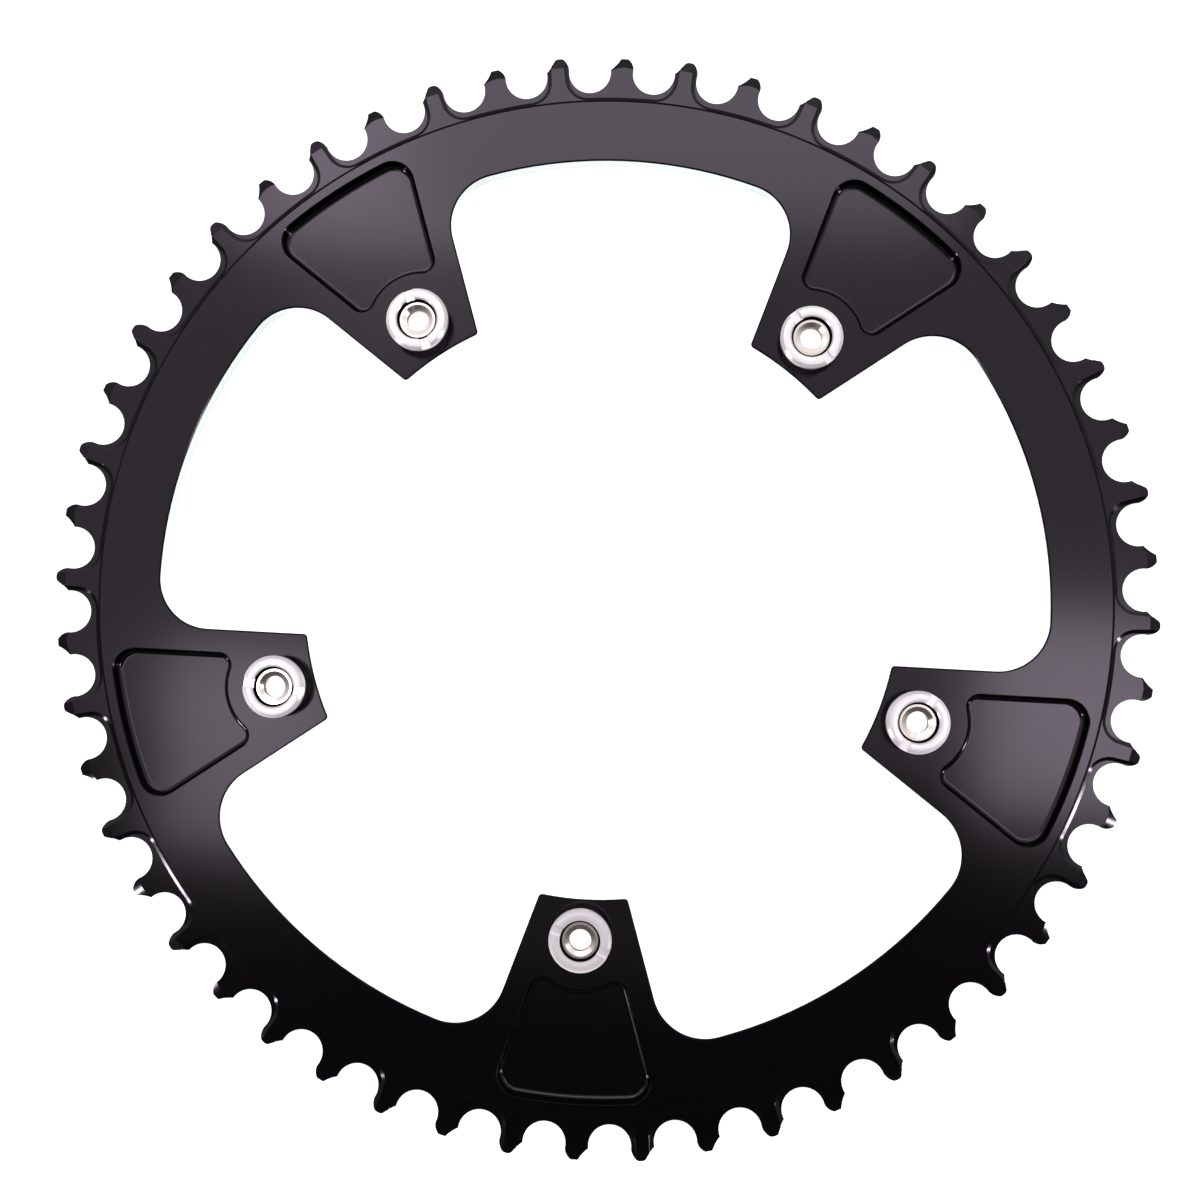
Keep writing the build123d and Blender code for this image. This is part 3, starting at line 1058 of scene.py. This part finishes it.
def panel_lamp(name, place, size, brightness, aim):
    """A soft panel lamp that faces a point, its brightness that of white paper at 1."""
    light = bpy.data.lights.new(name, "AREA")
    light.shape = "RECTANGLE"
    light.size, light.size_y = size
    light.energy = brightness * math.pi * size[0] * size[1]
    lamp = placed(name, light)
    lamp.location = place
    lamp.rotation_euler = (Vector(aim) - Vector(place)).to_track_quat("-Z", "Y").to_euler()
    lamp.visible_camera = False


def dim_room(finishes):
    """A dim room: darkest overhead and in front, palest half way up at the back."""
    world = bpy.data.worlds.new("dim room")
    world.use_nodes = True
    tree = world.node_tree
    way = new_node(tree, "ShaderNodeTexCoord")
    parts = new_node(tree, "ShaderNodeSeparateXYZ", {0: way.outputs["Generated"]})

    def share(part, start, end, least):
        """A share that grows from the least to 1 as one part of the direction changes."""
        return new_node(tree, "ShaderNodeMapRange", {
            "Value": parts.outputs[part], "From Min": start, "From Max": end, "To Min": least, "To Max": 1,
        }, {"interpolation_type": "SMOOTHSTEP"})

    off_zenith = share("Z", start=0.95, end=0.8, least=0.0)
    off_horizon = share("Z", start=0.46, end=0.57, least=0.42)
    toward_back = share("Y", start=-0.5, end=0.6, least=0.03)
    mid = math_node(tree, "MULTIPLY", off_zenith, off_horizon)
    pale = math_node(tree, "MULTIPLY", mid, toward_back)
    glow = math_node(tree, "MULTIPLY_ADD", pale, finishes.room_light, finishes.ceiling_light)
    tree.links.new(glow.outputs[0], tree.nodes["Background"].inputs["Strength"])
    tree.nodes["Background"].inputs["Color"].default_value = (1, 1, 1, 1)
    return world


def white_stage(finishes):
    """A round floor with a cove and a backdrop round it, which stands higher at the back."""
    reach, cove = 3.0, 0.4
    low_top, high_top, back_from = 0.45, 1.3, 0.9
    drop = -0.2 * MM
    profile = [(reach - cove, drop)]
    for step in range(1, COVE_STEPS + 1):
        bend = math.radians(90 * step / COVE_STEPS)
        profile.append((reach - cove + cove * math.sin(bend), drop + cove * (1 - math.cos(bend))))
    rows = [ring_row(radius, level, STAGE_STEP) for radius, level in [*profile, (reach, low_top)]]
    for point in rows[-1]:
        if point.y > back_from:
            point.z = high_top
    shell = Shell()
    shell.face(rows[0])
    shell.rows(list(reversed(rows)))
    floor = shell.piece("floor")
    floor.data.materials.append(floor_white(finishes))
    finish_where(floor, backdrop_white(finishes), lambda face: face.center.z > 0)
    floor.data.shade_smooth()
    return floor


def photo_camera():
    """A camera nearly over the ring's middle, looking down."""
    data = bpy.data.cameras.new("photo camera")
    data.sensor_width, data.lens = 36, 42.44
    data.clip_start, data.clip_end = 0.01, 20
    camera = placed("photo camera", data)
    camera.location = (11.40 * MM, -10.55 * MM, 279.38 * MM)
    roll, sway, nod, heading = 0.0183591, -0.0381345, -0.0415793, math.radians(4.07)
    tilt = Matrix.Rotation(roll, 3, "Z") @ Matrix.Rotation(sway, 3, "Y") @ Matrix.Rotation(nod, 3, "X")
    look = Matrix.Rotation(heading, 3, "Z") @ tilt.transposed()
    camera.rotation_euler = look.to_euler()
    return camera


class CHAINRING_OT_stage(bpy.types.Operator):
    """Build the floor, the lamps and the camera"""

    bl_idname = "chainring.stage"
    bl_label = "Stage"

    def execute(self, context):
        scene = context.scene
        finishes = scene.chainring_finishes
        floor = white_stage(finishes)
        for name, place, size, brightness in PANELS:
            panel_lamp(name, place, size, brightness, aim=(*place[:2], 0))
        for name, place, size, brightness in LOW_PANELS:
            panel_lamp(name, place, size, brightness, aim=(0, 0, 0))
        scene.world = dim_room(finishes)
        scene.camera = photo_camera()
        scene.view_settings.view_transform = "Standard"
        return {"FINISHED"}


class CHAINRING_PT_panel(bpy.types.Panel):
    """Lists the sizes and the steps that build the chainring"""

    bl_idname = "CHAINRING_PT_panel"
    bl_label = "Chainring"
    bl_space_type = "VIEW_3D"
    bl_region_type = "UI"
    bl_category = "Chainring"

    def draw(self, context):
        for group, settings in GROUPS.items():
            box = self.layout.box()
            for name in settings.__annotations__:
                box.prop(getattr(context.scene, group), name)
        for operator in OPERATORS:
            self.layout.operator(operator.bl_idname)


GROUPS = {
    "chainring_teeth": ToothSizes,
    "chainring_body": BodySizes,
    "chainring_fasteners": FastenerSizes,
    "chainring_finishes": Finishes,
}
OPERATORS = (CHAINRING_OT_ring, CHAINRING_OT_fasteners, CHAINRING_OT_stage)


def register():
    """Make the sizes, the steps and the panel known."""
    for part in (*GROUPS.values(), *OPERATORS, CHAINRING_PT_panel):
        bpy.utils.register_class(part)
    for name, settings in GROUPS.items():
        setattr(bpy.types.Scene, name, bpy.props.PointerProperty(type=settings))


def unregister():
    """Take them away again."""
    for name in GROUPS:
        delattr(bpy.types.Scene, name)
    for part in (CHAINRING_PT_panel, *OPERATORS, *GROUPS.values()):
        bpy.utils.unregister_class(part)


def main():
    """Make the object and its stage."""
    register()
    bpy.ops.chainring.ring()
    bpy.ops.chainring.fasteners()
    bpy.ops.chainring.stage()


if __name__ == "__main__":
    main()
